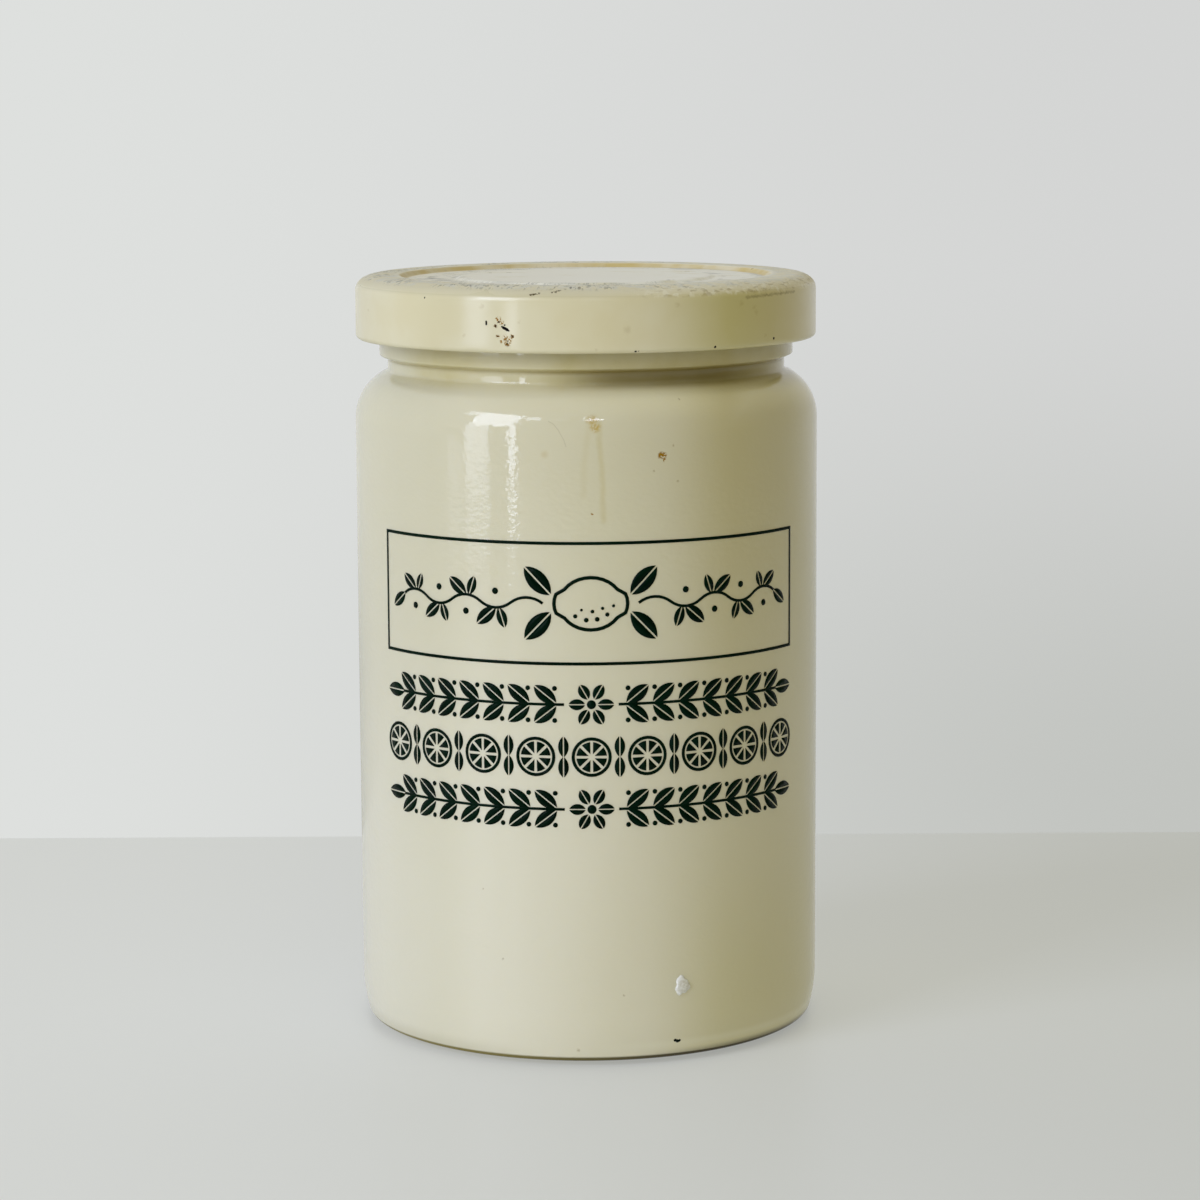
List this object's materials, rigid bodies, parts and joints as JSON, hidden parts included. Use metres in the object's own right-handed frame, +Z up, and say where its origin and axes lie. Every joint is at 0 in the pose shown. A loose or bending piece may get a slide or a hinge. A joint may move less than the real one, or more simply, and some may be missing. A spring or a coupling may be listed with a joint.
{
  "type": "milk glass marmalade jar",
  "caption": "Round opaque milk glass jar with a short neck and a press-on lacquered tin cap, sealed by a rubber ring inside its skirt, for keeping marmalade.",
  "frame": {"origin": "on the jar's upright axis, at the surface that the jar stands on", "axes": "+Z up along the axis; -Y towards the decorated front; +X to the right as seen from the front"},
  "size_m": [0.0746, 0.0746, 0.1215],
  "materials": {
    "milk_glass": "glossy opaque white glass, warmed by age",
    "cream_lacquer": "worn cream lacquer on tinplate, semi-gloss, rubbed and rusted at the edges",
    "grey_rubber": "matt cut rubber"
  },
  "bodies": {
    "jar": {"glass_jar": "milk_glass"},
    "lid": {"tin_cap": "cream_lacquer", "rubber_ring": "grey_rubber"}
  },
  "joints": [
    {"name": "lid_lift", "type": "slide", "parent": "jar", "child": "lid", "axis": [0, 0, 1], "range_m": [0, 0.05]}
  ]
}
